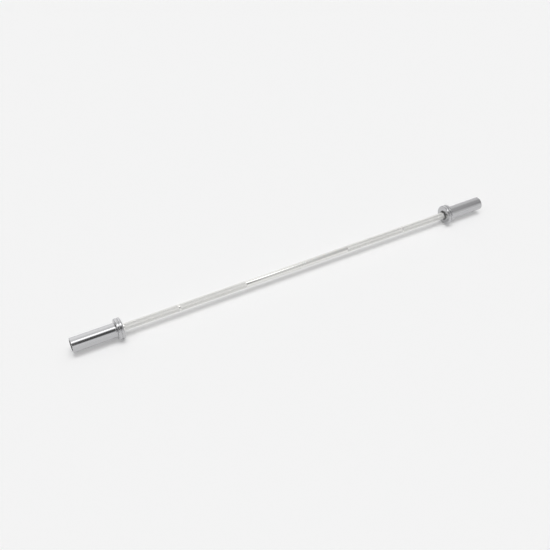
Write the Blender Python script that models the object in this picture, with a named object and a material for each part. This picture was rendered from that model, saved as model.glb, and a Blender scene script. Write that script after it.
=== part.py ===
"""A straight chrome barbell with short turning sleeves, built piece by piece as it comes apart on a bench.

The bar lies along X with its middle at the origin and +Z up, in metres. One shaft runs the whole way.
Each end carries a sleeve group that turns on it: a collar pressed on a sleeve tube, two bronze bushings
inside, a dust seal at the inner mouth, and an end cap that plugs the tube. Each group is drawn in its own
frame, whose Z axis runs outwards along the bar from the inner face of the collar.
"""

import math

import bmesh
import bpy

# Grip of the shaft
BETWEEN_COLLARS = 1.310
SHAFT_DIAMETER = 0.025
SMOOTH_CENTRE = 0.415
RING_MARK_SPACING = 0.910
RING_MARK_WIDTH = 0.006
KNURL_TO_COLLAR = 0.007
KNURL_RISE = 0.00015

# Turned ends of the shaft, inside the sleeves
JOURNAL_DIAMETER = 0.022
SHOULDER_BEHIND_TUBE = 0.001
SHAFT_END_TO_CAP = 0.003
SHAFT_END_CHAMFER = 0.001
SHAFT_CLIP_TO_END = 0.004
SHAFT_CLIP_GROOVE_DEPTH = 0.0011
SHAFT_CLIP_THICKNESS = 0.0016

# Collar, with the shares of a ridge's width that are rounded towards its face and towards the groove
COLLAR_DIAMETER = 0.074
COLLAR_WIDTH = 0.018
COLLAR_WEB = 0.005
COLLAR_MOUTH_DIAMETER = 0.0375
COLLAR_GROOVE_WIDTH = 0.0015
COLLAR_GROOVE_DEPTH = 0.0018
COLLAR_FILLET = 0.004
SHOULDER_SHARE = 0.53
GROOVE_SIDE_SHARE = 0.2

# Sleeve tube
SLEEVE_DIAMETER = 0.050
SLEEVE_BEYOND_COLLAR = 0.152
SLEEVE_BORE = 0.032
SLEEVE_EDGE = 0.001

# Bushings, thrust washers and dust seal
BUSHING_SEAT_DIAMETER = 0.034
BUSHING_LENGTH = 0.030
BUSHING_EDGE = 0.0006
WASHER_THICKNESS = 0.002
WASHER_RIM_CLEARANCE = 0.0009
SEAL_RECESS = 0.0008
SEAL_LIP_EDGE = 0.0006
SEAL_CHANNEL_WIDTH = 0.0018
SEAL_CHANNEL_DEPTH = 0.0022
SEAL_CHANNEL_SLOPE = 0.0005

# End cap, a plug whose face is almost level with the end of the tube
CAP_SEAT_DIAMETER = 0.040
CAP_RECESS = 0.0003
CAP_EDGE = 0.0005
CAP_THICKNESS = 0.005
CAP_DISH_DEPTH = 0.0009
CAP_RIM_WIDTH = 0.0035
CAP_DISH_SLOPE = 0.0008
CAP_SKIRT_LENGTH = 0.005
CAP_SKIRT_WALL = 0.002

# Shaft clip
CLIP_NARROW = 0.0016
CLIP_WIDE = 0.0026
CLIP_LUG_RADIUS = 0.0017
CLIP_LUG_HOLE_RADIUS = 0.0007
CLIP_OPENING_DEGREES = 20

# Clearance between neighbours, and facets round each kind of piece
FIT_GAP = 0.0003
COLLAR_FACETS = 64
SLEEVE_FACETS = 48
SHAFT_FACETS = 32
TRIM_FACETS = 48
INNER_FACETS = 24
ROUNDING_STEPS = 4
CLIP_FACETS = 32
LUG_FACETS = 12
LUG_HOLE_FACETS = 8
MERGE_DISTANCE = 0.00001
SHARP_ANGLE = math.radians(30)

# Radii that several pieces share
SHAFT_RADIUS = SHAFT_DIAMETER / 2
JOURNAL_RADIUS = JOURNAL_DIAMETER / 2
SLEEVE_RADIUS = SLEEVE_DIAMETER / 2
BUSHING_SEAT_RADIUS = BUSHING_SEAT_DIAMETER / 2
CAP_SEAT_RADIUS = CAP_SEAT_DIAMETER / 2
RUNNING_RADIUS = JOURNAL_RADIUS + FIT_GAP

# Places along an end group, outwards from the inner face of the collar
TUBE_START = COLLAR_WEB + FIT_GAP
TUBE_END = COLLAR_WIDTH + SLEEVE_BEYOND_COLLAR
SHOULDER = TUBE_START + SHOULDER_BEHIND_TUBE
INNER_WASHER_START = SHOULDER + FIT_GAP
INNER_BUSHING_START = INNER_WASHER_START + WASHER_THICKNESS + FIT_GAP
CAP_FACE = TUBE_END - CAP_RECESS
CAP_BACK = CAP_FACE - CAP_THICKNESS
CAP_SEAT = CAP_BACK - FIT_GAP
SHAFT_END = CAP_BACK - CAP_SKIRT_LENGTH - SHAFT_END_TO_CAP
SHAFT_CLIP_END = SHAFT_END - SHAFT_CLIP_TO_END - FIT_GAP
SHAFT_CLIP_START = SHAFT_CLIP_END - SHAFT_CLIP_THICKNESS
OUTER_WASHER_START = SHAFT_CLIP_START - FIT_GAP - WASHER_THICKNESS
OUTER_BUSHING_START = OUTER_WASHER_START - FIT_GAP - BUSHING_LENGTH


def clear_scene():
    for obj in list(bpy.data.objects):
        bpy.data.objects.remove(obj, do_unlink=True)


def material(name, colour, roughness, metallic):
    made = bpy.data.materials.new(name)
    made.use_nodes = True
    made.diffuse_color = (*colour, 1)
    surface = made.node_tree.nodes["Principled BSDF"]
    surface.inputs["Base Color"].default_value = (*colour, 1)
    surface.inputs["Roughness"].default_value = roughness
    surface.inputs["Metallic"].default_value = metallic
    return made


def placed(name, data, surface, group):
    """Names an object, gives it its material and hangs it on its group's axis."""
    data.materials.append(surface)
    obj = bpy.data.objects.new(name, data)
    bpy.context.scene.collection.objects.link(obj)
    obj.parent = group
    return obj


def turned(name, outline, facets, surface, group, solid=False):
    """Turns an outline of (radius, height) points round Z, with a flat facet square to the local X axis.

    A solid outline starts and ends on the axis. Any other is a closed loop round the wall of a ring.
    """
    shape = bmesh.new()
    turn = math.pi / facets
    points = [shape.verts.new((r * math.cos(turn), r * math.sin(turn), z)) for r, z in outline]
    ends = zip(points, points[1:]) if solid else zip(points, points[1:] + points[:1])
    edges = [shape.edges.new(pair) for pair in ends]
    bmesh.ops.spin(
        shape,
        geom=points + edges,
        cent=(0, 0, 0),
        axis=(0, 0, 1),
        angle=math.tau,
        steps=facets,
        use_merge=True,
    )
    bmesh.ops.remove_doubles(shape, verts=shape.verts, dist=MERGE_DISTANCE)
    bmesh.ops.recalc_face_normals(shape, faces=shape.faces)
    mesh = bpy.data.meshes.new(name)
    shape.to_mesh(mesh)
    shape.free()
    mesh.shade_smooth()
    mesh.set_sharp_from_angle(angle=SHARP_ANGLE)
    return placed(name, mesh, surface, group)


def plain_ring(inner, outer, start, end):
    return [(outer, end), (outer, start), (inner, start), (inner, end)]


def end_group(side, direction):
    """An empty at a collar's inner face, with its Z axis outwards along the bar."""
    group = bpy.data.objects.new(side + "_sleeve_axis", None)
    bpy.context.scene.collection.objects.link(group)
    group.location = (direction * BETWEEN_COLLARS / 2, 0, 0)
    group.rotation_euler = (0, direction * math.pi / 2, 0)
    return group


def shaft(surface):
    """One bar of steel: smooth centre, knurled grips with a ring mark in each, a journal at each end."""
    half = BETWEEN_COLLARS / 2
    knurl_radius = SHAFT_RADIUS + KNURL_RISE
    groove_radius = JOURNAL_RADIUS - SHAFT_CLIP_GROOVE_DEPTH
    steps = (
        (SMOOTH_CENTRE / 2, SHAFT_RADIUS, knurl_radius),
        ((RING_MARK_SPACING - RING_MARK_WIDTH) / 2, knurl_radius, SHAFT_RADIUS),
        ((RING_MARK_SPACING + RING_MARK_WIDTH) / 2, SHAFT_RADIUS, knurl_radius),
        (half - KNURL_TO_COLLAR, knurl_radius, SHAFT_RADIUS),
        (half + SHOULDER, SHAFT_RADIUS, JOURNAL_RADIUS),
        (half + SHAFT_CLIP_START - FIT_GAP, JOURNAL_RADIUS, groove_radius),
        (half + SHAFT_CLIP_END + FIT_GAP, groove_radius, JOURNAL_RADIUS),
    )
    far_end = half + SHAFT_END
    outwards = [(radius, place) for place, before, after in steps for radius in (before, after)]
    outwards += [
        (JOURNAL_RADIUS, far_end - SHAFT_END_CHAMFER),
        (JOURNAL_RADIUS - SHAFT_END_CHAMFER, far_end),
        (0, far_end),
    ]
    outline = outwards[::-1] + [(radius, -place) for radius, place in outwards]
    centre = bpy.data.objects.new("shaft_axis", None)
    bpy.context.scene.collection.objects.link(centre)
    centre.rotation_euler = (0, math.pi / 2, 0)
    turned("shaft", outline, SHAFT_FACETS, surface, centre, solid=True)


def quarter_arc(radius, height, reach_out, reach_up):
    """A quarter circle about a centre, from its side on the radius axis to its side on the height axis."""
    angles = [math.pi / 2 * step / ROUNDING_STEPS for step in range(ROUNDING_STEPS + 1)]
    return [(radius + reach_out * math.cos(angle), height + reach_up * math.sin(angle)) for angle in angles]


def collar(side, surface, group):
    """A flange with two ridges round its rim and a web that covers the inner end of the tube."""
    rim = COLLAR_DIAMETER / 2
    bore = SLEEVE_RADIUS + FIT_GAP
    mouth = COLLAR_MOUTH_DIAMETER / 2
    floor = rim - COLLAR_GROOVE_DEPTH
    ridge_width = (COLLAR_WIDTH - COLLAR_GROOVE_WIDTH) / 2
    groove_end = COLLAR_WIDTH - ridge_width
    face_height = (rim - bore) / 2
    fillet = min(COLLAR_FILLET, face_height)
    shoulder = min(ridge_width * SHOULDER_SHARE, face_height)
    edge = min(ridge_width * GROOVE_SIDE_SHARE, COLLAR_GROOVE_DEPTH)
    outer_shoulder = quarter_arc(rim - shoulder, COLLAR_WIDTH - shoulder, shoulder, shoulder)
    inner_shoulder = quarter_arc(rim - shoulder, shoulder, shoulder, -shoulder)
    outer_edge = quarter_arc(rim - edge, groove_end + edge, edge, -edge)
    inner_edge = quarter_arc(rim - edge, ridge_width - edge, edge, edge)
    outline = [
        *quarter_arc(bore + fillet, COLLAR_WIDTH + fillet, -fillet, -fillet),
        *reversed(outer_shoulder),
        *outer_edge,
        (floor, groove_end),
        (floor, ridge_width),
        *reversed(inner_edge),
        *inner_shoulder,
        (mouth, 0),
        (mouth, COLLAR_WEB),
        (bore, COLLAR_WEB),
    ]
    turned(side + "_collar", outline, COLLAR_FACETS, surface, group)


def sleeve_tube(side, surface, group):
    """The tube that carries the plates, with a seat for a bushing near each end and one for the end cap."""
    bore = SLEEVE_BORE / 2
    seat = BUSHING_SEAT_RADIUS
    outline = [
        (SLEEVE_RADIUS - SLEEVE_EDGE, TUBE_END),
        (SLEEVE_RADIUS, TUBE_END - SLEEVE_EDGE),
        (SLEEVE_RADIUS, TUBE_START),
        (seat, TUBE_START),
        (seat, INNER_BUSHING_START + BUSHING_LENGTH + FIT_GAP),
        (bore, INNER_BUSHING_START + BUSHING_LENGTH + FIT_GAP),
        (bore, OUTER_BUSHING_START - FIT_GAP),
        (seat, OUTER_BUSHING_START - FIT_GAP),
        (seat, CAP_SEAT),
        (CAP_SEAT_RADIUS, CAP_SEAT),
        (CAP_SEAT_RADIUS, TUBE_END),
    ]
    turned(side + "_sleeve_tube", outline, SLEEVE_FACETS, surface, group)


def bushing(name, start, surface, group):
    inner = RUNNING_RADIUS
    outer = BUSHING_SEAT_RADIUS - FIT_GAP
    end = start + BUSHING_LENGTH
    outline = [
        (outer - BUSHING_EDGE, end),
        (outer, end - BUSHING_EDGE),
        (outer, start + BUSHING_EDGE),
        (outer - BUSHING_EDGE, start),
        (inner, start),
        (inner, end),
    ]
    turned(name, outline, INNER_FACETS, surface, group)


def thrust_washer(name, start, surface, group):
    outer = BUSHING_SEAT_RADIUS - WASHER_RIM_CLEARANCE
    outline = plain_ring(RUNNING_RADIUS, outer, start, start + WASHER_THICKNESS)
    turned(name, outline, INNER_FACETS, surface, group)


def dust_seal(side, surface, group):
    """A ring in the collar's mouth: a hub that wipes the shaft, and a channel round it."""
    inner = SHAFT_RADIUS + FIT_GAP
    outer = COLLAR_MOUTH_DIAMETER / 2 - FIT_GAP
    channel = outer - SEAL_CHANNEL_WIDTH
    channel_floor = SEAL_RECESS + SEAL_CHANNEL_DEPTH
    outline = [
        (outer, TUBE_START - FIT_GAP),
        (outer, channel_floor),
        (channel, channel_floor),
        (channel - SEAL_CHANNEL_SLOPE, SEAL_RECESS),
        (inner + SEAL_LIP_EDGE, SEAL_RECESS),
        (inner, SEAL_RECESS + SEAL_LIP_EDGE),
        (inner, TUBE_START - FIT_GAP),
    ]
    turned(side + "_dust_seal", outline, TRIM_FACETS, surface, group)


def end_cap(side, surface, group):
    """A moulded plug: a disc with a raised rim outside and a skirt inside the bore."""
    rim = CAP_SEAT_RADIUS - FIT_GAP
    dish = rim - CAP_RIM_WIDTH
    skirt = BUSHING_SEAT_RADIUS - FIT_GAP
    skirt_end = CAP_BACK - CAP_SKIRT_LENGTH
    outline = [
        (0, CAP_FACE - CAP_DISH_DEPTH),
        (dish - CAP_DISH_SLOPE, CAP_FACE - CAP_DISH_DEPTH),
        (dish, CAP_FACE),
        (rim - CAP_EDGE, CAP_FACE),
        (rim, CAP_FACE - CAP_EDGE),
        (rim, CAP_BACK),
        (skirt, CAP_BACK),
        (skirt, skirt_end),
        (skirt - CAP_SKIRT_WALL, skirt_end),
        (skirt - CAP_SKIRT_WALL, CAP_BACK),
        (0, CAP_BACK),
    ]
    turned(side + "_end_cap", outline, TRIM_FACETS, surface, group, solid=True)


def round_bars(name, middles, radius, facets, start, end, group):
    """A hidden helper of round bars along Z, which a Boolean joins to a piece or cuts from it."""
    shape = bmesh.new()
    for x, y in middles:
        bar = bmesh.ops.create_cone(
            shape, cap_ends=True, segments=facets, radius1=radius, radius2=radius, depth=end - start
        )
        bmesh.ops.translate(shape, verts=bar["verts"], vec=(x, y, (start + end) / 2))
    mesh = bpy.data.meshes.new(name)
    shape.to_mesh(mesh)
    shape.free()
    helper = bpy.data.objects.new(name, mesh)
    bpy.context.scene.collection.objects.link(helper)
    helper.parent = group
    helper.hide_render = True
    helper.display_type = "WIRE"
    return helper


def combined(piece, operation, helper):
    boolean = piece.modifiers.new(helper.name, "BOOLEAN")
    boolean.operation = operation
    boolean.solver = "EXACT"
    boolean.object = helper


def open_ring(name, seat_radius, start, thickness, surface, group):
    """A flat ring with an opening centred on the local X axis, narrow there and wide at the far side."""
    opening = math.radians(CLIP_OPENING_DEGREES)
    shape = bmesh.new()
    sections = []
    for step in range(CLIP_FACETS + 1):
        angle = opening + (math.tau - 2 * opening) * step / CLIP_FACETS
        width = CLIP_NARROW + (CLIP_WIDE - CLIP_NARROW) * (1 - math.cos(angle)) / 2
        free_radius = seat_radius + width
        corners = (
            (seat_radius, start),
            (free_radius, start),
            (free_radius, start + thickness),
            (seat_radius, start + thickness),
        )
        sections.append([shape.verts.new((r * math.cos(angle), r * math.sin(angle), z)) for r, z in corners])
    for before, after in zip(sections, sections[1:]):
        for corner in range(len(before)):
            beside = (corner + 1) % len(before)
            shape.faces.new((before[corner], before[beside], after[beside], after[corner]))
    shape.faces.new(sections[0])
    shape.faces.new(sections[-1])
    bmesh.ops.recalc_face_normals(shape, faces=shape.faces)
    mesh = bpy.data.meshes.new(name)
    shape.to_mesh(mesh)
    shape.free()
    return placed(name, mesh, surface, group)


def shaft_clip(side, surface, group):
    """An open spring ring in a groove of the shaft, with a drilled lug at each side of its opening."""
    name = side + "_shaft_clip"
    seat_radius = JOURNAL_RADIUS - SHAFT_CLIP_GROOVE_DEPTH + FIT_GAP
    start = SHAFT_CLIP_START
    thickness = SHAFT_CLIP_THICKNESS
    clip = open_ring(name, seat_radius, start, thickness, surface, group)
    lug_centre = seat_radius + CLIP_NARROW + CLIP_LUG_RADIUS / 2
    lug_angle = math.radians(CLIP_OPENING_DEGREES) + math.asin(CLIP_LUG_RADIUS / lug_centre)
    along = lug_centre * math.cos(lug_angle)
    across = lug_centre * math.sin(lug_angle)
    middles = [(along, -across), (along, across)]
    end = start + thickness
    lugs = round_bars(name + "_lugs", middles, CLIP_LUG_RADIUS, LUG_FACETS, start, end, group)
    drill_start = start - thickness
    drill_end = end + thickness
    holes = round_bars(
        name + "_holes", middles, CLIP_LUG_HOLE_RADIUS, LUG_HOLE_FACETS, drill_start, drill_end, group
    )
    combined(clip, "UNION", lugs)
    combined(clip, "DIFFERENCE", holes)


def build_end(side, direction, surfaces):
    """Everything at one end of the bar, seen outwards from the inner face of its collar."""
    group = end_group(side, direction)
    collar(side, surfaces["chrome"], group)
    sleeve_tube(side, surfaces["chrome"], group)
    dust_seal(side, surfaces["seal_nylon"], group)
    thrust_washer(side + "_inner_thrust_washer", INNER_WASHER_START, surfaces["washer_steel"], group)
    bushing(side + "_inner_bushing", INNER_BUSHING_START, surfaces["bronze"], group)
    bushing(side + "_outer_bushing", OUTER_BUSHING_START, surfaces["bronze"], group)
    thrust_washer(side + "_outer_thrust_washer", OUTER_WASHER_START, surfaces["washer_steel"], group)
    shaft_clip(side, surfaces["spring_steel"], group)
    end_cap(side, surfaces["cap_plastic"], group)


def main():
    clear_scene()
    surfaces = {
        "shaft_chrome": material("shaft_chrome", (0.88, 0.875, 0.855), 0.25, 1),
        "chrome": material("chrome", (0.53, 0.53, 0.54), 0.12, 1),
        "bronze": material("bronze", (0.66, 0.42, 0.18), 0.35, 1),
        "washer_steel": material("washer_steel", (0.56, 0.56, 0.56), 0.3, 1),
        "spring_steel": material("spring_steel", (0.08, 0.08, 0.09), 0.4, 1),
        "seal_nylon": material("seal_nylon", (0.24, 0.24, 0.235), 0.5, 0),
        "cap_plastic": material("cap_plastic", (0.02, 0.02, 0.02), 0.8, 0),
    }
    shaft(surfaces["shaft_chrome"])
    build_end("left", -1, surfaces)
    build_end("right", 1, surfaces)


main()
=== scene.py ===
import math

import bmesh
import bpy
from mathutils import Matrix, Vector


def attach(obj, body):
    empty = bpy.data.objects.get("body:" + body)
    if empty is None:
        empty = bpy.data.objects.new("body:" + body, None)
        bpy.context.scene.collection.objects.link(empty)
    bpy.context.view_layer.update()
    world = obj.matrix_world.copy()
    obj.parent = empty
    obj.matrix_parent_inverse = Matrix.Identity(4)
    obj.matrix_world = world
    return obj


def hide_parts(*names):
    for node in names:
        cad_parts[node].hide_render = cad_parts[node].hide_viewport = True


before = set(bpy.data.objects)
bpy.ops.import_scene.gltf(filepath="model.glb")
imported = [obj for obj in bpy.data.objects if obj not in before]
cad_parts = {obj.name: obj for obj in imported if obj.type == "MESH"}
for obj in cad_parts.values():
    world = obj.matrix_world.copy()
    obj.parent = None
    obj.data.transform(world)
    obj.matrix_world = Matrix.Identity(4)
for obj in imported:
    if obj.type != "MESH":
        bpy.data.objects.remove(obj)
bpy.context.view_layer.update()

bl_info = {
    "name": "Barbell Dressing",
    "version": (1, 0, 0),
    "blender": (4, 5, 0),
    "location": "View3D > Sidebar > Barbell",
    "description": "Dresses a barbell with a knurled shaft, chrome sleeves and ridged collars",
    "category": "Object",
}

SIDES = {"left": -1, "right": 1}
SAME_PLACE = 0.00001
PLACE_DIGITS = 5
SMOOTH_EDGE = math.radians(40)
CORNER_STEPS = 5
FULL_TURN = math.tau
HALF_STEP = 0.5
LINES_PER_DIAMOND = 2
EXTRA_LINES = 4
FLOOR_HALF = 20
LEAST_HEIGHT = 0.001

# The room as the metal shows it. A patch has a direction, the angles in degrees from it at which it is full
# and gone, and the factor on the room's brightness. A band has a middle, and the distances from it at which
# it is full and gone.
ROOM_PATCHES = {
    "back_left": ((-0.75, 0.2, 0.62), 15, 45, 0.55),
    "back": ((-0.05, 0.9, 0.35), 20, 45, 1.25),
    "front": ((0.36, -0.76, 0.54), 8, 30, 0.72),
    "right": ((0.8, -0.16, 0.58), 12, 38, 0.62),
    "left": ((-0.82, -0.41, 0.38), 14, 34, 0.25),
}
ROOM_SLOPE = -0.2
CAMERA_HEIGHTS = (math.radians(48), math.radians(14), math.radians(24))
CAMERA_SIDES = (0.04, 0.13, 0.2)
CAMERA_FACTOR = 0.13
GAP_SLOPES = (-0.85, 0.25, 0.5)
GAP_BREAK = (0.25, 0.4, 0.6)
GAP_FACTOR = 0.25
WALL_HEIGHTS = (0, 0.2, 0.4)
WALL_SIDES = (-1, 0.6, 0.85)
WALL_FACTOR = 0.2
SOFTBOX_SLOPES = (-0.11, 0.13, 0.22)
SOFTBOX_SIDES = (-0.4, 0.69, 0.82)


# Places read from the parts in model.glb

def corners_of(node):
    """The corners of a turned node as (distance from the bar's middle, radius), each once, outwards."""
    found = set()
    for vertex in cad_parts[node].data.vertices:
        radius = math.hypot(vertex.co.y, vertex.co.z)
        found.add((round(abs(vertex.co.x), PLACE_DIGITS), round(radius, PLACE_DIGITS)))
    return sorted(found)


def span_of(node):
    """Nearest and furthest place from the bar's middle, then least and greatest radius, of a turned node."""
    corners = corners_of(node)
    places = [place for place, radius in corners]
    radii = [radius for place, radius in corners]
    return min(places), max(places), min(radii), max(radii)


def in_order(corners, radius_now):
    """Sorts the corners of a stepped outline: outwards, and at each step on from the radius reached."""
    ordered = []
    for place in sorted({place for place, radius in corners}):
        here = [corner for corner in corners if corner[0] == place]
        here.sort(key=lambda corner: abs(corner[1] - radius_now))
        radius_now = here[-1][1]
        ordered += here
    return ordered


SHAFT_CORNERS = corners_of("shaft")
SHAFT_END = SHAFT_CORNERS[-1][0]
SHAFT_RADII = sorted({radius for place, radius in SHAFT_CORNERS})
KNURL_RADIUS, SMOOTH_RADIUS = SHAFT_RADII[-1], SHAFT_RADII[-2]
KNURL_PLACES = sorted({place for place, radius in SHAFT_CORNERS if radius == KNURL_RADIUS})
COLLAR_INNER, COLLAR_OUTER, COLLAR_MOUTH, COLLAR_RADIUS = span_of("right_collar")
TUBE_INNER, TUBE_OUTER, _, TUBE_RADIUS = span_of("right_sleeve_tube")
SEAL_INNER, SEAL_OUTER, SEAL_HOLE, SEAL_RADIUS = span_of("right_dust_seal")
CAP_INNER, CAP_OUTER, _, CAP_RADIUS = span_of("right_end_cap")


# Settings

class BarbellShaftSettings(bpy.types.PropertyGroup):
    """Sizes of the shaft's surface."""

    diamonds_round: bpy.props.IntProperty(
        name="Diamonds round", description="Knurled diamonds round the grip", default=60, min=12
    )
    diamond_length: bpy.props.FloatProperty(
        name="Diamond length",
        description="Length of one knurled diamond along the bar",
        default=0.002,
        unit="LENGTH",
    )
    knurl_depth: bpy.props.FloatProperty(
        name="Knurl depth",
        description="From the tips of the diamonds to the bottom of the grooves",
        default=0.00032,
        unit="LENGTH",
    )
    under_knurl: bpy.props.FloatProperty(
        name="Relief under the knurl",
        description="How far the plain bar lies under the grooves of the knurl",
        default=0.00012,
        unit="LENGTH",
    )
    edge: bpy.props.FloatProperty(
        name="Edge radius", description="Rounding of the shaft's steps", default=0.0002, unit="LENGTH"
    )
    segments: bpy.props.IntProperty(
        name="Segments", description="Segments round the shaft", default=120, min=24
    )


class BarbellSleeveSettings(bpy.types.PropertyGroup):
    """Sizes of the collars, the sleeve tubes and what closes them."""

    shoulder_rounding: bpy.props.FloatProperty(
        name="Shoulder rounding",
        description="Rounding between the collar's faces and its rim",
        default=0.0044,
        unit="LENGTH",
    )
    ridge_rounding: bpy.props.FloatProperty(
        name="Ridge rounding",
        description="Rounding of the collar's two ridges beside the groove",
        default=0.0017,
        unit="LENGTH",
    )
    groove_depth: bpy.props.FloatProperty(
        name="Groove depth",
        description="Depth of the groove between the ridges",
        default=0.0018,
        unit="LENGTH",
    )
    groove_width: bpy.props.FloatProperty(
        name="Groove width",
        description="Width of the groove between the ridges",
        default=0.0015,
        unit="LENGTH",
    )
    fillet: bpy.props.FloatProperty(
        name="Fillet",
        description="Hollow rounding between the tube and the collar's outer face",
        default=0.004,
        unit="LENGTH",
    )
    web: bpy.props.FloatProperty(
        name="Collar web", description="Thickness of the collar's inner web", default=0.005, unit="LENGTH"
    )
    small_edge: bpy.props.FloatProperty(
        name="Small edge",
        description="Rounding of the collar's mouth and bore",
        default=0.0004,
        unit="LENGTH",
    )
    tube_edge: bpy.props.FloatProperty(
        name="Tube edge", description="Rounding of the tube's outer end", default=0.0012, unit="LENGTH"
    )
    seal_channel_width: bpy.props.FloatProperty(
        name="Seal channel width",
        description="Width of the channel between the seal's hub and the collar",
        default=0.0018,
        unit="LENGTH",
    )
    seal_channel_depth: bpy.props.FloatProperty(
        name="Seal channel depth",
        description="Depth of the channel round the seal's hub",
        default=0.0022,
        unit="LENGTH",
    )
    cap_rim: bpy.props.FloatProperty(
        name="Cap rim", description="Width of the end cap's raised rim", default=0.0032, unit="LENGTH"
    )
    cap_dish: bpy.props.FloatProperty(
        name="Cap dish", description="Depth of the end cap's dish", default=0.0009, unit="LENGTH"
    )
    segments: bpy.props.IntProperty(
        name="Segments", description="Segments round a collar or a tube", default=144, min=24
    )


class BarbellFinishSettings(bpy.types.PropertyGroup):
    """Colours of the metals, the nylon and the plastic."""

    chrome: bpy.props.FloatVectorProperty(
        name="Sleeve chrome",
        description="Colour of the collars and sleeves",
        default=(0.53, 0.53, 0.54),
        subtype="COLOR",
    )
    shaft: bpy.props.FloatVectorProperty(
        name="Shaft chrome",
        description="Colour of the smooth parts of the shaft",
        default=(0.8, 0.795, 0.775),
        subtype="COLOR",
    )
    knurl: bpy.props.FloatVectorProperty(
        name="Knurl chrome",
        description="Colour of the knurled grips",
        default=(0.88, 0.875, 0.855),
        subtype="COLOR",
    )
    bronze: bpy.props.FloatVectorProperty(
        name="Bronze", description="Colour of the bushings", default=(0.66, 0.42, 0.18), subtype="COLOR"
    )
    washer: bpy.props.FloatVectorProperty(
        name="Washer steel",
        description="Colour of the thrust washers",
        default=(0.56, 0.56, 0.56),
        subtype="COLOR",
    )
    clip: bpy.props.FloatVectorProperty(
        name="Clip steel",
        description="Colour of the shaft clips",
        default=(0.08, 0.08, 0.09),
        subtype="COLOR",
    )
    nylon: bpy.props.FloatVectorProperty(
        name="Seal nylon",
        description="Colour of the dust seals",
        default=(0.24, 0.24, 0.235),
        subtype="COLOR",
    )
    plastic: bpy.props.FloatVectorProperty(
        name="Cap plastic", description="Colour of the end caps", default=(0.02, 0.02, 0.02), subtype="COLOR"
    )


class BarbellStageSettings(bpy.types.PropertyGroup):
    """Floor, light and camera."""

    floor: bpy.props.FloatVectorProperty(
        name="Floor", description="Colour of the floor", default=(0.97, 0.97, 0.97), subtype="COLOR"
    )
    background: bpy.props.FloatProperty(
        name="Background", description="Brightness of the background that the camera sees", default=0.913
    )
    room: bpy.props.FloatProperty(
        name="Room", description="Brightness of the white room as the metal shows it", default=0.98
    )
    softbox: bpy.props.FloatProperty(
        name="Softbox", description="Brightness of the long softbox over the bar", default=2.25
    )
    room_share: bpy.props.FloatProperty(
        name="Room's share", description="Part of the room's light that matt surfaces get", default=0.23
    )
    key: bpy.props.FloatProperty(
        name="Key",
        description="Light on the floor from the overhead lamp, where 1 lights white",
        default=0.36,
    )
    key_spread: bpy.props.FloatProperty(
        name="Key spread",
        description="Angle of the overhead lamp, which softens its shadow",
        default=math.radians(36),
        subtype="ANGLE",
    )
    sky: bpy.props.FloatProperty(
        name="Sky", description="Light on the floor from the wide lamp round the key", default=0.13
    )
    sky_spread: bpy.props.FloatProperty(
        name="Sky spread", description="Angle of the wide lamp", default=math.radians(100), subtype="ANGLE"
    )
    fill: bpy.props.FloatProperty(
        name="Fill", description="Light on the floor from each of two lamps without shadows", default=0.118
    )
    azimuth: bpy.props.FloatProperty(
        name="Azimuth",
        description="Turn of the camera from square to the bar",
        default=math.radians(28.26),
        subtype="ANGLE",
    )
    elevation: bpy.props.FloatProperty(
        name="Elevation",
        description="Height angle of the camera",
        default=math.radians(40.73),
        subtype="ANGLE",
    )
    distance: bpy.props.FloatProperty(
        name="Distance", description="From the camera to its aim point", default=2.5935, unit="LENGTH"
    )
    aim: bpy.props.FloatVectorProperty(
        name="Aim",
        description="Point that the camera looks at",
        default=(-0.080, 0.0201, -0.0235),
        subtype="XYZ",
    )
    lens: bpy.props.FloatProperty(
        name="Lens", description="Focal length of the camera in mm", default=47.455, subtype="NONE"
    )


# Shapes

def radius_under_knurl(sizes):
    """Radius of the plain bar where a knurled band hides it."""
    return KNURL_RADIUS - sizes.knurl_depth - sizes.under_knurl


def rounded(outline, closed):
    """Turns (place, radius, rounding) corners into points, with an arc where there is a rounding."""
    points = []
    count = len(outline)
    for index, (place, radius, rounding) in enumerate(outline):
        corner = Vector((place, radius))
        at_end = not closed and index in (0, count - 1)
        if at_end or rounding == 0:
            points.append(corner)
            continue
        before = (Vector(outline[index - 1][:2]) - corner).normalized()
        after = (Vector(outline[(index + 1) % count][:2]) - corner).normalized()
        half = before.angle(after) / 2
        reach = rounding / math.tan(half)
        centre = corner + (before + after).normalized() * rounding / math.sin(half)
        start = corner + before * reach - centre
        turn = start.angle_signed(corner + after * reach - centre)
        for step in range(CORNER_STEPS + 1):
            angle = -turn * step / CORNER_STEPS
            spoke = Vector((
                start.x * math.cos(angle) - start.y * math.sin(angle),
                start.x * math.sin(angle) + start.y * math.cos(angle),
            ))
            points.append(centre + spoke)
    return points


def turned(name, outline, segments, direction, closed=True):
    """Turns a rounded outline round the bar's axis. A direction of -1 makes the left end's mirror image."""
    shape = bmesh.new()
    points = rounded(outline, closed)
    verts = [shape.verts.new((direction * point.x, 0, point.y)) for point in points]
    followers = verts[1:] + verts[:1] if closed else verts[1:]
    edges = [shape.edges.new(pair) for pair in zip(verts, followers)]
    bmesh.ops.spin(
        shape,
        geom=verts + edges,
        cent=(0, 0, 0),
        axis=(1, 0, 0),
        angle=FULL_TURN,
        steps=segments,
        use_merge=True,
    )
    bmesh.ops.remove_doubles(shape, verts=shape.verts, dist=SAME_PLACE)
    bmesh.ops.recalc_face_normals(shape, faces=shape.faces)
    mesh = bpy.data.meshes.new(name)
    shape.to_mesh(mesh)
    shape.free()
    mesh.shade_smooth()
    mesh.set_sharp_from_angle(angle=SMOOTH_EDGE)
    piece = bpy.data.objects.new(name, mesh)
    bpy.context.scene.collection.objects.link(piece)
    return piece


def dressed(piece, body, slot, finish, *nodes):
    """Gives a piece its finish and its body, and hides the nodes that it stands for. The slot is not used.
    """
    piece.data.materials.clear()
    piece.data.materials.append(finish)
    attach(piece, body)
    if nodes:
        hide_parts(*nodes)


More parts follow.
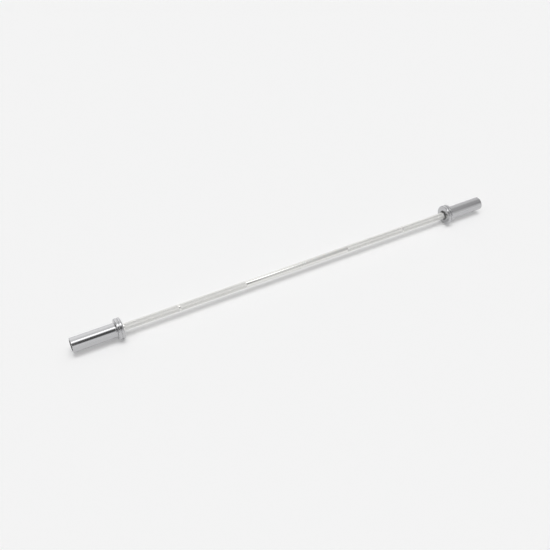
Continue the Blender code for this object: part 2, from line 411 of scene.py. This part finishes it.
# Node trees

def node(tree, kind, inputs=(), **settings):
    """Adds a node, sets its options, and fills its inputs by value or by link."""
    made = tree.nodes.new(kind)
    for option, value in settings.items():
        setattr(made, option, value)
    for key, value in dict(inputs).items():
        if isinstance(value, bpy.types.NodeSocket):
            tree.links.new(value, made.inputs[key])
        else:
            made.inputs[key].default_value = value
    return made


def maths(tree, operation, first, second=0.0, third=0.0):
    inputs = {0: first, 1: second, 2: third}
    return node(tree, "ShaderNodeMath", inputs, operation=operation).outputs[0]


def group_input(tree, name, kind, default=None):
    socket = tree.interface.new_socket(name=name, in_out="INPUT", socket_type=kind)
    if default is not None:
        socket.default_value = default
    return socket


def group_output(tree, name, kind):
    return tree.interface.new_socket(name=name, in_out="OUTPUT", socket_type=kind)


def knurl_tree():
    """Geometry nodes that wrap a grid round the bar and lift every other point into the tip of a diamond.

    One more row at each end goes down to the bar, and a last one comes back to the start inside the band, so
    that the band is closed.
    """
    tree = bpy.data.node_groups.new("Knurled band", "GeometryNodeTree")
    tree.is_modifier = True
    group_input(tree, "Start", "NodeSocketFloat")
    group_input(tree, "Length", "NodeSocketFloat")
    group_input(tree, "Rows", "NodeSocketInt")
    group_input(tree, "Diamonds round", "NodeSocketInt")
    group_input(tree, "Tip radius", "NodeSocketFloat")
    group_input(tree, "Groove radius", "NodeSocketFloat")
    group_input(tree, "End radius", "NodeSocketFloat")
    group_input(tree, "Inner radius", "NodeSocketFloat")
    group_input(tree, "Finish", "NodeSocketMaterial")
    group_output(tree, "Geometry", "NodeSocketGeometry")
    given = node(tree, "NodeGroupInput").outputs
    columns = maths(tree, "MULTIPLY", given["Diamonds round"], LINES_PER_DIAMOND)
    across = maths(tree, "ADD", columns, 1)
    along = maths(tree, "ADD", given["Rows"], EXTRA_LINES)
    grid = node(tree, "GeometryNodeMeshGrid", {"Vertices X": along, "Vertices Y": across}).outputs["Mesh"]
    index = node(tree, "GeometryNodeInputIndex").outputs[0]
    line = maths(tree, "FLOOR", maths(tree, "DIVIDE", maths(tree, "ADD", index, HALF_STEP), across))
    column = maths(tree, "SUBTRACT", index, maths(tree, "MULTIPLY", line, across))
    row = maths(tree, "SUBTRACT", line, 1)
    lifted = maths(tree, "MODULO", maths(tree, "ADD", row, column), LINES_PER_DIAMOND)
    middle = node(
        tree,
        "ShaderNodeMix",
        {"Factor": lifted, "A": given["Groove radius"], "B": given["Tip radius"]},
    ).outputs["Result"]
    first_row = maths(tree, "LESS_THAN", row, HALF_STEP)
    last_row = maths(tree, "GREATER_THAN", row, maths(tree, "SUBTRACT", given["Rows"], HALF_STEP))
    at_end = maths(tree, "MAXIMUM", first_row, last_row)
    before = maths(tree, "LESS_THAN", row, -HALF_STEP)
    beyond = maths(tree, "GREATER_THAN", row, maths(tree, "ADD", given["Rows"], HALF_STEP))
    ends = node(
        tree,
        "ShaderNodeMix",
        {
            "Factor": maths(tree, "MAXIMUM", before, beyond),
            "A": given["End radius"],
            "B": given["Inner radius"],
        },
    ).outputs["Result"]
    radius = node(tree, "ShaderNodeMix", {"Factor": at_end, "A": middle, "B": ends}).outputs["Result"]
    angle = maths(tree, "MULTIPLY", maths(tree, "DIVIDE", column, columns), FULL_TURN)
    step = maths(tree, "MINIMUM", maths(tree, "MAXIMUM", row, 0), given["Rows"])
    outbound = maths(tree, "LESS_THAN", row, maths(tree, "ADD", given["Rows"], 1 + HALF_STEP))
    share = maths(tree, "DIVIDE", maths(tree, "MULTIPLY", step, outbound), given["Rows"])
    travelled = maths(tree, "MULTIPLY", share, given["Length"])
    place = node(
        tree,
        "ShaderNodeCombineXYZ",
        {
            "X": maths(tree, "ADD", given["Start"], travelled),
            "Y": maths(tree, "MULTIPLY", radius, maths(tree, "COSINE", angle)),
            "Z": maths(tree, "MULTIPLY", radius, maths(tree, "SINE", angle)),
        },
    ).outputs[0]
    wrapped = node(tree, "GeometryNodeSetPosition", {"Geometry": grid, "Position": place}).outputs[0]
    closed = node(
        tree, "GeometryNodeMergeByDistance", {"Geometry": wrapped, "Distance": SAME_PLACE}
    ).outputs[0]
    outward = node(tree, "GeometryNodeFlipFaces", {"Mesh": closed}).outputs[0]
    cut = node(
        tree, "GeometryNodeTriangulate", {"Mesh": outward}, quad_method="SHORTEST_DIAGONAL"
    ).outputs[0]
    real = node(tree, "GeometryNodeRealizeInstances", {"Geometry": cut}).outputs[0]
    finished = node(
        tree, "GeometryNodeSetMaterial", {"Geometry": real, "Material": given["Finish"]}
    ).outputs[0]
    node(tree, "NodeGroupOutput", {"Geometry": finished})
    return tree


def grown(name, tree, values):
    """The plain mesh that a geometry nodes tree makes with these values, as a new object."""
    seed = bpy.data.objects.new(name + "_seed", bpy.data.meshes.new(name + "_seed"))
    bpy.context.scene.collection.objects.link(seed)
    modifier = seed.modifiers.new("Shape", "NODES")
    modifier.node_group = tree
    for socket in tree.interface.items_tree:
        if socket.in_out == "INPUT":
            modifier[socket.identifier] = values[socket.name]
    evaluated = seed.evaluated_get(bpy.context.evaluated_depsgraph_get())
    mesh = bpy.data.meshes.new_from_object(evaluated)
    seed.modifiers.remove(modifier)
    bpy.data.objects.remove(seed)
    mesh.name = name
    piece = bpy.data.objects.new(name, mesh)
    bpy.context.scene.collection.objects.link(piece)
    return piece


# Effects that several finishes share

def radius_socket(tree, position):
    """Distance from the bar's axis."""
    flat = node(tree, "ShaderNodeVectorMath", {0: position, 1: (0, 1, 1)}, operation="MULTIPLY").outputs[0]
    return node(tree, "ShaderNodeVectorMath", {0: flat}, operation="LENGTH").outputs["Value"]


def turning_lines_group():
    """Fine rings left by a cutting tool, on the rim and on the faces of a turned piece."""
    tree = bpy.data.node_groups.new("Turning lines", "ShaderNodeTree")
    group_input(tree, "Position", "NodeSocketVector")
    group_input(tree, "Lines per metre", "NodeSocketFloat", 2500)
    group_output(tree, "Height", "NodeSocketFloat")
    group_output(tree, "Broad", "NodeSocketFloat")
    given = node(tree, "NodeGroupInput").outputs
    along = node(tree, "ShaderNodeSeparateXYZ", {0: given["Position"]}).outputs["X"]
    spot = node(
        tree, "ShaderNodeCombineXYZ", {"X": along, "Y": radius_socket(tree, given["Position"])}
    ).outputs[0]
    fine = node(
        tree,
        "ShaderNodeTexNoise",
        {"Vector": spot, "Scale": given["Lines per metre"], "Detail": 2, "Roughness": 0.6},
        noise_dimensions="2D",
    ).outputs["Fac"]
    broad = node(
        tree,
        "ShaderNodeTexNoise",
        {"Vector": spot, "Scale": maths(tree, "DIVIDE", given["Lines per metre"], 12), "Detail": 1},
        noise_dimensions="2D",
    ).outputs["Fac"]
    node(tree, "NodeGroupOutput", {"Height": fine, "Broad": broad})
    return tree


def rub_marks_group():
    """Hairline rubs along the bar and cloudy smudges from handling."""
    tree = bpy.data.node_groups.new("Rub marks", "ShaderNodeTree")
    group_input(tree, "Position", "NodeSocketVector")
    group_input(tree, "Amount", "NodeSocketFloat", 0.5)
    group_output(tree, "Hairlines", "NodeSocketFloat")
    group_output(tree, "Smudges", "NodeSocketFloat")
    given = node(tree, "NodeGroupInput").outputs
    drawn = node(
        tree, "ShaderNodeMapping", {"Vector": given["Position"], "Scale": (14, 900, 900)}
    ).outputs[0]
    lines = node(
        tree, "ShaderNodeTexNoise", {"Vector": drawn, "Scale": 1, "Detail": 3, "Roughness": 0.7}
    ).outputs["Fac"]
    thin = node(
        tree,
        "ShaderNodeMapRange",
        {"Value": lines, "From Min": 0.58, "From Max": 0.72, "To Max": given["Amount"]},
    ).outputs[0]
    clouds = node(
        tree,
        "ShaderNodeTexNoise",
        {"Vector": given["Position"], "Scale": 38, "Detail": 5, "Roughness": 0.62},
    ).outputs["Fac"]
    soft = node(
        tree,
        "ShaderNodeMapRange",
        {"Value": clouds, "From Min": 0.42, "From Max": 0.75, "To Max": given["Amount"]},
        interpolation_type="SMOOTHSTEP",
    ).outputs[0]
    node(tree, "NodeGroupOutput", {"Hairlines": thin, "Smudges": soft})
    return tree


def grain_group():
    """The fine grain of moulded, sintered or ground surfaces, with darker flecks."""
    tree = bpy.data.node_groups.new("Grain", "ShaderNodeTree")
    group_input(tree, "Position", "NodeSocketVector")
    group_input(tree, "Grains per metre", "NodeSocketFloat", 2000)
    group_output(tree, "Height", "NodeSocketFloat")
    group_output(tree, "Flecks", "NodeSocketFloat")
    given = node(tree, "NodeGroupInput").outputs
    grain = node(
        tree,
        "ShaderNodeTexNoise",
        {"Vector": given["Position"], "Scale": given["Grains per metre"], "Detail": 2},
    ).outputs["Fac"]
    cells = node(
        tree,
        "ShaderNodeTexVoronoi",
        {"Vector": given["Position"], "Scale": maths(tree, "MULTIPLY", given["Grains per metre"], 0.6)},
    ).outputs["Distance"]
    flecks = node(
        tree,
        "ShaderNodeMapRange",
        {"Value": cells, "From Min": 0.05, "From Max": 0.3, "To Min": 1, "To Max": 0},
    ).outputs[0]
    node(tree, "NodeGroupOutput", {"Height": grain, "Flecks": flecks})
    return tree


# Finishes

class Finish:
    """One procedural material and the sockets that its recipe joins."""

    def __init__(self, name, colour, roughness, metallic):
        self.material = bpy.data.materials.new(name)
        self.material.use_nodes = True
        self.tree = self.material.node_tree
        self.shader = self.tree.nodes["Principled BSDF"]
        self.shader.inputs["Base Color"].default_value = (*colour, 1)
        self.shader.inputs["Roughness"].default_value = roughness
        self.shader.inputs["Metallic"].default_value = metallic
        self.colour = colour
        self.position = node(self.tree, "ShaderNodeTexCoord").outputs["Object"]

    def effect(self, group, inputs=()):
        placed = node(self.tree, "ShaderNodeGroup", node_tree=group)
        self.tree.links.new(self.position, placed.inputs["Position"])
        for name, value in dict(inputs).items():
            placed.inputs[name].default_value = value
        return placed.outputs

    def tint(self, mask, factor):
        """Multiplies the colour by a factor where the mask is full. A second call works on the first."""
        base = self.shader.inputs["Base Color"]
        before = base.links[0].from_socket if base.links else (*self.colour, 1)
        shade = tuple(part * factor for part in self.colour)
        mixed = node(
            self.tree,
            "ShaderNodeMix",
            {"Factor": mask, "A": before, "B": (*shade, 1)},
            data_type="RGBA",
        )
        self.tree.links.new(mixed.outputs["Result"], base)

    def gloss(self, *shares):
        """Adds to the roughness a share of each mask."""
        total = self.shader.inputs["Roughness"].default_value
        for mask, share in shares:
            total = node(
                self.tree, "ShaderNodeMath", {0: mask, 1: share, 2: total}, operation="MULTIPLY_ADD"
            ).outputs[0]
        self.tree.links.new(total, self.shader.inputs["Roughness"])

    def relief(self, height, depth, strength):
        bump = node(
            self.tree, "ShaderNodeBump", {"Height": height, "Distance": depth, "Strength": strength}
        )
        self.tree.links.new(bump.outputs[0], self.shader.inputs["Normal"])


def sleeve_chrome(colour, lines, rubs):
    made = Finish("sleeve_chrome", colour, roughness=0.09, metallic=1)
    turning = made.effect(lines, {"Lines per metre": 2200})
    marks = made.effect(rubs, {"Amount": 0.5})
    made.tint(marks["Smudges"], factor=0.94)
    made.gloss((turning["Broad"], 0.05), (marks["Hairlines"], 0.10), (marks["Smudges"], 0.06))
    made.relief(turning["Height"], depth=0.00001, strength=0.12)
    return made.material


def smooth_chrome(colour, lines, rubs):
    made = Finish("smooth_chrome", colour, roughness=0.13, metallic=1)
    turning = made.effect(lines, {"Lines per metre": 1600})
    marks = made.effect(rubs, {"Amount": 0.6})
    made.tint(marks["Smudges"], factor=0.95)
    made.gloss((turning["Broad"], 0.06), (marks["Hairlines"], 0.12), (marks["Smudges"], 0.08))
    made.relief(turning["Height"], depth=0.00001, strength=0.10)
    return made.material


def knurl_chrome(colour, rubs, tip, groove):
    """Satin chrome whose grooves are darkened towards their bottom, as painted shade and a little dull
    grime.
    """
    made = Finish("knurl_chrome", colour, roughness=0.24, metallic=1)
    depth = node(
        made.tree,
        "ShaderNodeMapRange",
        {"Value": radius_socket(made.tree, made.position), "From Min": tip, "From Max": groove},
    ).outputs[0]
    groove_shade_and_grime = maths(made.tree, "POWER", depth, 1.6)
    marks = made.effect(rubs, {"Amount": 0.6})
    # Painted shade with a little grime: the colour darkens towards the bottom of the grooves.
    made.tint(groove_shade_and_grime, factor=0.83)
    made.gloss((groove_shade_and_grime, 0.20), (marks["Smudges"], 0.08))
    return made.material


def bushing_bronze(colour, lines, grain):
    made = Finish("bushing_bronze", colour, roughness=0.34, metallic=1)
    sintered = made.effect(grain, {"Grains per metre": 2600})
    turning = made.effect(lines, {"Lines per metre": 1800})
    made.tint(sintered["Flecks"], factor=0.55)
    made.gloss((sintered["Flecks"], 0.20), (turning["Broad"], 0.08))
    made.relief(sintered["Height"], depth=0.00004, strength=0.3)
    return made.material


def ground_steel(colour, lines, rubs):
    made = Finish("ground_steel", colour, roughness=0.26, metallic=1)
    ground = made.effect(lines, {"Lines per metre": 3200})
    marks = made.effect(rubs, {"Amount": 0.7})
    made.tint(marks["Smudges"], factor=0.82)
    made.gloss((ground["Broad"], 0.12), (marks["Smudges"], 0.10))
    made.relief(ground["Height"], depth=0.00002, strength=0.25)
    return made.material


def clip_steel(colour, grain, rubs):
    made = Finish("clip_steel", colour, roughness=0.36, metallic=1)
    skin = made.effect(grain, {"Grains per metre": 4200})
    marks = made.effect(rubs, {"Amount": 0.8})
    made.tint(skin["Flecks"], factor=0.6)
    made.gloss((marks["Smudges"], 0.16), (skin["Flecks"], 0.12))
    made.relief(skin["Height"], depth=0.00002, strength=0.25)
    return made.material


def turned_nylon(colour, lines, rubs):
    made = Finish("turned_nylon", colour, roughness=0.48, metallic=0)
    turning = made.effect(lines, {"Lines per metre": 2600})
    marks = made.effect(rubs, {"Amount": 1.0})
    made.tint(marks["Smudges"], factor=0.6)
    made.gloss((turning["Broad"], 0.08), (marks["Smudges"], 0.14))
    made.relief(turning["Height"], depth=0.00003, strength=0.3)
    return made.material


def moulded_plastic(colour, grain, rubs):
    made = Finish("moulded_plastic", colour, roughness=0.72, metallic=0)
    made.shader.inputs["Specular IOR Level"].default_value = 0.12
    skin = made.effect(grain, {"Grains per metre": 1500})
    marks = made.effect(rubs, {"Amount": 0.9})
    made.tint(marks["Hairlines"], factor=2.2)
    made.gloss((skin["Height"], 0.14), (marks["Smudges"], 0.10))
    made.relief(skin["Height"], depth=0.00006, strength=0.4)
    return made.material


# Operators

class BARBELL_OT_finishes(bpy.types.Operator):
    """Makes the procedural finishes"""

    bl_idname = "barbell.finishes"
    bl_label = "Finishes"

    def execute(self, context):
        colours = context.scene.barbell_finishes
        shaft = context.scene.barbell_shaft
        lines = turning_lines_group()
        rubs = rub_marks_group()
        grain = grain_group()
        sleeve_chrome(colours.chrome, lines, rubs)
        smooth_chrome(colours.shaft, lines, rubs)
        knurl_chrome(colours.knurl, rubs, KNURL_RADIUS, KNURL_RADIUS - shaft.knurl_depth)
        bushing_bronze(colours.bronze, lines, grain)
        ground_steel(colours.washer, lines, rubs)
        clip_steel(colours.clip, grain, rubs)
        turned_nylon(colours.nylon, lines, rubs)
        moulded_plastic(colours.plastic, grain, rubs)
        return {"FINISHED"}


class BARBELL_OT_shaft(bpy.types.Operator):
    """Turns the plain bar: smooth centre, ring marks, journals, clip grooves and chamfered ends"""

    bl_idname = "barbell.shaft"
    bl_label = "Plain shaft"

    def execute(self, context):
        sizes = context.scene.barbell_shaft
        half = []
        for place, radius in in_order(SHAFT_CORNERS, SMOOTH_RADIUS):
            shown = radius_under_knurl(sizes) if radius == KNURL_RADIUS else radius
            half.append((place, shown, sizes.edge))
        half.append((SHAFT_END, 0, 0))
        outline = [(-place, radius, edge) for place, radius, edge in reversed(half)] + half
        piece = turned("shaft_bar", outline, sizes.segments, 1, closed=False)
        dressed(piece, "shaft", "shaft_chrome", bpy.data.materials["smooth_chrome"], "shaft")
        return {"FINISHED"}


class BARBELL_OT_knurl(bpy.types.Operator):
    """Wraps the four knurled bands round the shaft"""

    bl_idname = "barbell.knurl"
    bl_label = "Knurled grips"

    def execute(self, context):
        sizes = context.scene.barbell_shaft
        finish = bpy.data.materials["knurl_chrome"]
        tree = knurl_tree()
        for side, direction in SIDES.items():
            for label, near, far in zip(("inner", "outer"), KNURL_PLACES[::2], KNURL_PLACES[1::2]):
                length = far - near
                values = {
                    "Start": min(direction * near, direction * far),
                    "Length": length,
                    "Rows": LINES_PER_DIAMOND * round(length / sizes.diamond_length),
                    "Diamonds round": sizes.diamonds_round,
                    "Tip radius": KNURL_RADIUS,
                    "Groove radius": KNURL_RADIUS - sizes.knurl_depth,
                    "End radius": SMOOTH_RADIUS,
                    "Inner radius": radius_under_knurl(sizes),
                    "Finish": finish,
                }
                piece = grown(f"{side}_{label}_knurl", tree, values)
                dressed(piece, "shaft", "shaft_chrome", finish, "shaft")
        return {"FINISHED"}


class BARBELL_OT_collars(bpy.types.Operator):
    """Turns the two collars, each with two rounded ridges round its rim"""

    bl_idname = "barbell.collars"
    bl_label = "Collars"

    def execute(self, context):
        sizes = context.scene.barbell_sleeves
        middle = (COLLAR_INNER + COLLAR_OUTER) / 2
        floor = COLLAR_RADIUS - sizes.groove_depth
        shoulder = sizes.shoulder_rounding
        ridge = sizes.ridge_rounding
        small = sizes.small_edge
        web = COLLAR_INNER + sizes.web
        groove_far = middle + sizes.groove_width / 2
        groove_near = middle - sizes.groove_width / 2
        outline = [
            (COLLAR_OUTER + sizes.fillet, TUBE_RADIUS, 0),
            (COLLAR_OUTER, TUBE_RADIUS, sizes.fillet),
            (COLLAR_OUTER, COLLAR_RADIUS, shoulder),
            (groove_far, COLLAR_RADIUS, ridge),
            (groove_far, floor, 0),
            (groove_near, floor, 0),
            (groove_near, COLLAR_RADIUS, ridge),
            (COLLAR_INNER, COLLAR_RADIUS, shoulder),
            (COLLAR_INNER, COLLAR_MOUTH, small),
            (web, COLLAR_MOUTH, 0),
            (web, TUBE_RADIUS, 0),
        ]
        for side, direction in SIDES.items():
            piece = turned(side + "_collar_ring", outline, sizes.segments, direction)
            finish = bpy.data.materials["sleeve_chrome"]
            dressed(piece, side + "_sleeve", "chrome", finish, side + "_collar")
        return {"FINISHED"}


class BARBELL_OT_tubes(bpy.types.Operator):
    """Turns the two sleeve tubes, with the seats of the bushings and of the end cap"""

    bl_idname = "barbell.tubes"
    bl_label = "Sleeve tubes"

    def execute(self, context):
        sizes = context.scene.barbell_sleeves
        corners = corners_of("right_sleeve_tube")
        rim = max(radius for place, radius in corners if place == TUBE_OUTER)
        bore = in_order([corner for corner in corners if corner[1] < rim], TUBE_RADIUS)
        outline = [
            (TUBE_OUTER, TUBE_RADIUS, sizes.tube_edge),
            (TUBE_INNER, TUBE_RADIUS, 0),
            *[(place, radius, 0) for place, radius in bore[:-1]],
            (*bore[-1], sizes.small_edge),
        ]
        for side, direction in SIDES.items():
            piece = turned(side + "_plate_tube", outline, sizes.segments, direction)
            finish = bpy.data.materials["sleeve_chrome"]
            dressed(piece, side + "_sleeve", "chrome", finish, side + "_sleeve_tube")
        return {"FINISHED"}


class BARBELL_OT_seals(bpy.types.Operator):
    """Turns the two dust seals, each a hub round the shaft with a channel round it"""

    bl_idname = "barbell.seals"
    bl_label = "Dust seals"

    def execute(self, context):
        sizes = context.scene.barbell_sleeves
        hub = SEAL_RADIUS - sizes.seal_channel_width
        channel = SEAL_INNER + sizes.seal_channel_depth
        edge = sizes.small_edge
        outline = [
            (SEAL_OUTER, SEAL_RADIUS, 0),
            (channel, SEAL_RADIUS, 0),
            (channel, hub, 0),
            (SEAL_INNER, hub, edge),
            (SEAL_INNER, SEAL_HOLE, edge),
            (SEAL_OUTER, SEAL_HOLE, 0),
        ]
        for side, direction in SIDES.items():
            piece = turned(side + "_seal_ring", outline, sizes.segments, direction)
            finish = bpy.data.materials["turned_nylon"]
            dressed(piece, side + "_sleeve", "seal_nylon", finish, side + "_dust_seal")
        return {"FINISHED"}


class BARBELL_OT_caps(bpy.types.Operator):
    """Moulds the two end caps, each a dished disc with a raised rim and a skirt"""

    bl_idname = "barbell.caps"
    bl_label = "End caps"

    def execute(self, context):
        sizes = context.scene.barbell_sleeves
        corners = corners_of("right_end_cap")
        skirt = sorted({radius for place, radius in corners if place == CAP_INNER})
        back = max(place for place, radius in corners if radius == skirt[-1])
        dish = CAP_RADIUS - sizes.cap_rim
        edge = sizes.small_edge
        outline = [
            (CAP_OUTER - sizes.cap_dish, 0, 0),
            (CAP_OUTER - sizes.cap_dish, dish - sizes.cap_dish, edge),
            (CAP_OUTER, dish, edge),
            (CAP_OUTER, CAP_RADIUS, edge),
            (back, CAP_RADIUS, 0),
            (back, skirt[-1], 0),
            (CAP_INNER, skirt[-1], edge),
            (CAP_INNER, skirt[0], edge),
            (back, skirt[0], 0),
            (back, 0, 0),
        ]
        for side, direction in SIDES.items():
            piece = turned(side + "_cap_disc", outline, sizes.segments, direction, closed=False)
            finish = bpy.data.materials["moulded_plastic"]
            dressed(piece, side + "_sleeve", "cap_plastic", finish, side + "_end_cap")
        return {"FINISHED"}


class BARBELL_OT_inner_pieces(bpy.types.Operator):
    """Gives the bushings, the thrust washers and the shaft clips their finishes"""

    bl_idname = "barbell.inner_pieces"
    bl_label = "Inner pieces"

    def execute(self, context):
        finishes = {
            "bushing": "bushing_bronze",
            "washer": "ground_steel",
            "clip": "clip_steel",
        }
        for name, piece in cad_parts.items():
            finish = finishes.get(name.rsplit("_", 1)[-1])
            if finish:
                piece.data.materials.clear()
                piece.data.materials.append(bpy.data.materials[finish])
        return {"FINISHED"}


class BARBELL_OT_stage(bpy.types.Operator):
    """Lays the pale floor, lights the white room and sets the camera"""

    bl_idname = "barbell.stage"
    bl_label = "Stage"

    def execute(self, context):
        stage = context.scene.barbell_stage
        self.lay_floor(stage)
        self.light_room(context.scene, stage)
        self.hang_lamps(stage)
        self.set_camera(context.scene, stage)
        context.scene.view_settings.view_transform = "Standard"
        return {"FINISHED"}

    def lay_floor(self, stage):
        mesh = bpy.data.meshes.new("floor")
        corners = [
            (FLOOR_HALF * x, FLOOR_HALF * y, -COLLAR_RADIUS) for x, y in ((-1, -1), (1, -1), (1, 1), (-1, 1))
        ]
        mesh.from_pydata(corners, [], [(0, 1, 2, 3)])
        paint = bpy.data.materials.new("floor_paint")
        paint.use_nodes = True
        tree = paint.node_tree
        tree.nodes.clear()
        matt = node(tree, "ShaderNodeBsdfDiffuse", {"Color": (*stage.floor, 1)}).outputs[0]
        node(tree, "ShaderNodeOutputMaterial", {"Surface": matt})
        mesh.materials.append(paint)
        floor = bpy.data.objects.new("floor", mesh)
        bpy.context.scene.collection.objects.link(floor)

    def light_room(self, scene, stage):
        """The room as the metal shows it: pale, with a long softbox overhead and darker parts elsewhere."""
        world = bpy.data.worlds.new("white_room")
        world.use_nodes = True
        scene.world = world
        tree = world.node_tree
        tree.nodes.clear()
        direction = node(tree, "ShaderNodeTexCoord").outputs["Generated"]
        axes = node(tree, "ShaderNodeSeparateXYZ", {0: direction}).outputs

        def soft_step(value, gone, full):
            """0 where the value has reached the first limit, 1 where it has reached the second."""
            return node(
                tree,
                "ShaderNodeMapRange",
                {"Value": value, "From Min": gone, "From Max": full},
                interpolation_type="SMOOTHSTEP",
            ).outputs[0]

        def patch(towards, full, gone):
            """1 within the first angle of a direction, 0 beyond the second one."""
            near = node(
                tree,
                "ShaderNodeVectorMath",
                {0: direction, 1: Vector(towards).normalized()},
                operation="DOT_PRODUCT",
            ).outputs["Value"]
            return soft_step(near, math.cos(math.radians(gone)), math.cos(math.radians(full)))

        def band(value, middle, full, gone):
            """1 within the first distance of the middle, 0 beyond the second one."""
            away = maths(tree, "ABSOLUTE", maths(tree, "SUBTRACT", value, middle))
            return soft_step(away, gone, full)

        def product(first, *others):
            for other in others:
                first = maths(tree, "MULTIPLY", first, other)
            return first

        def shaded(before, mask, level):
            """The level where the mask is full, and what was there before where it is empty."""
            return node(tree, "ShaderNodeMix", {"Factor": mask, "A": before, "B": level}).outputs["Result"]

        def scaled(before, mask, factor):
            """The brightness multiplied by the factor where the mask is full."""
            return product(before, shaded(1, mask, factor))

        height = maths(tree, "ARCTAN2", axes["Z"], maths(tree, "MULTIPLY", axes["Y"], -1))
        slope = maths(tree, "DIVIDE", axes["Y"], maths(tree, "MAXIMUM", axes["Z"], LEAST_HEIGHT))
        overhead = maths(tree, "GREATER_THAN", axes["Z"], 0)
        beside_break = maths(tree, "SUBTRACT", 1, band(axes["X"], *GAP_BREAK))
        behind_camera = product(band(height, *CAMERA_HEIGHTS), band(axes["X"], *CAMERA_SIDES))
        dark_gap = product(band(slope, *GAP_SLOPES), beside_break, overhead)
        dark_wall = product(band(axes["Z"], *WALL_HEIGHTS), band(axes["X"], *WALL_SIDES))
        softbox = product(band(slope, *SOFTBOX_SLOPES), band(axes["X"], *SOFTBOX_SIDES), overhead)
        level = maths(tree, "MULTIPLY_ADD", axes["X"], ROOM_SLOPE * stage.room, stage.room)
        for towards, full, gone, factor in ROOM_PATCHES.values():
            level = scaled(level, patch(towards, full, gone), factor)
        level = scaled(level, behind_camera, CAMERA_FACTOR)
        level = scaled(level, dark_gap, GAP_FACTOR)
        level = scaled(level, dark_wall, WALL_FACTOR)
        level = shaded(level, softbox, stage.softbox)
        rays = node(tree, "ShaderNodeLightPath").outputs
        not_yet_matt = maths(tree, "LESS_THAN", rays["Diffuse Depth"], HALF_STEP)
        share = shaded(stage.room_share, product(rays["Is Glossy Ray"], not_yet_matt), 1)
        strength = shaded(product(level, share), rays["Is Camera Ray"], stage.background)
        light = node(tree, "ShaderNodeBackground", {"Color": (1, 1, 1, 1), "Strength": strength})
        node(tree, "ShaderNodeOutputWorld", {"Surface": light.outputs[0]})

    def hang_lamps(self, stage):
        """A soft key overhead, a wide lamp round it, and two lamps without shadows that fill theirs."""
        lamps = {
            "key": ((0.03, -0.11, 1), stage.key, stage.key_spread, True),
            "sky": ((0, 0, 1), stage.sky, stage.sky_spread, True),
            "front_fill": ((-0.6, -0.8, 1), stage.fill, 0, False),
            "back_fill": ((0.6, 0.8, 1), stage.fill, 0, False),
        }
        for name, (towards, light, spread, shadow) in lamps.items():
            towards = Vector(towards).normalized()
            data = bpy.data.lights.new(name, "SUN")
            data.energy = math.pi * light / towards.z
            data.angle = spread
            data.use_shadow = shadow
            lamp = bpy.data.objects.new(name, data)
            bpy.context.scene.collection.objects.link(lamp)
            lamp.rotation_euler = towards.to_track_quat("Z", "Y").to_euler()
            lamp.visible_glossy = False

    def set_camera(self, scene, stage):
        level = math.cos(stage.elevation)
        look = Vector((
            math.sin(stage.azimuth) * level,
            math.cos(stage.azimuth) * level,
            -math.sin(stage.elevation),
        ))
        data = bpy.data.cameras.new("camera")
        data.lens = stage.lens
        camera = bpy.data.objects.new("camera", data)
        scene.collection.objects.link(camera)
        camera.location = Vector(stage.aim) - look * stage.distance
        camera.rotation_euler = look.to_track_quat("-Z", "Y").to_euler()
        scene.camera = camera


OPERATORS = (
    BARBELL_OT_finishes,
    BARBELL_OT_shaft,
    BARBELL_OT_knurl,
    BARBELL_OT_collars,
    BARBELL_OT_tubes,
    BARBELL_OT_seals,
    BARBELL_OT_caps,
    BARBELL_OT_inner_pieces,
    BARBELL_OT_stage,
)

SETTINGS = {
    "barbell_shaft": BarbellShaftSettings,
    "barbell_sleeves": BarbellSleeveSettings,
    "barbell_finishes": BarbellFinishSettings,
    "barbell_stage": BarbellStageSettings,
}


class BARBELL_PT_panel(bpy.types.Panel):
    """Settings and steps of the barbell"""

    bl_label = "Barbell"
    bl_idname = "BARBELL_PT_panel"
    bl_space_type = "VIEW_3D"
    bl_region_type = "UI"
    bl_category = "Barbell"

    def draw(self, context):
        for name, group in SETTINGS.items():
            box = self.layout.box()
            box.label(text=group.__doc__)
            for setting in group.__annotations__:
                box.prop(getattr(context.scene, name), setting)
        for operator in OPERATORS:
            self.layout.operator(operator.bl_idname)


def register():
    for group in SETTINGS.values():
        bpy.utils.register_class(group)
    for operator in OPERATORS:
        bpy.utils.register_class(operator)
    bpy.utils.register_class(BARBELL_PT_panel)
    for name, group in SETTINGS.items():
        setattr(bpy.types.Scene, name, bpy.props.PointerProperty(type=group))


def unregister():
    for name in SETTINGS:
        delattr(bpy.types.Scene, name)
    bpy.utils.unregister_class(BARBELL_PT_panel)
    for operator in reversed(OPERATORS):
        bpy.utils.unregister_class(operator)
    for group in reversed(SETTINGS.values()):
        bpy.utils.unregister_class(group)


def main():
    register()
    bpy.ops.barbell.finishes()
    bpy.ops.barbell.shaft()
    bpy.ops.barbell.knurl()
    bpy.ops.barbell.collars()
    bpy.ops.barbell.tubes()
    bpy.ops.barbell.seals()
    bpy.ops.barbell.caps()
    bpy.ops.barbell.inner_pieces()
    bpy.ops.barbell.stage()


if __name__ == "__main__":
    main()
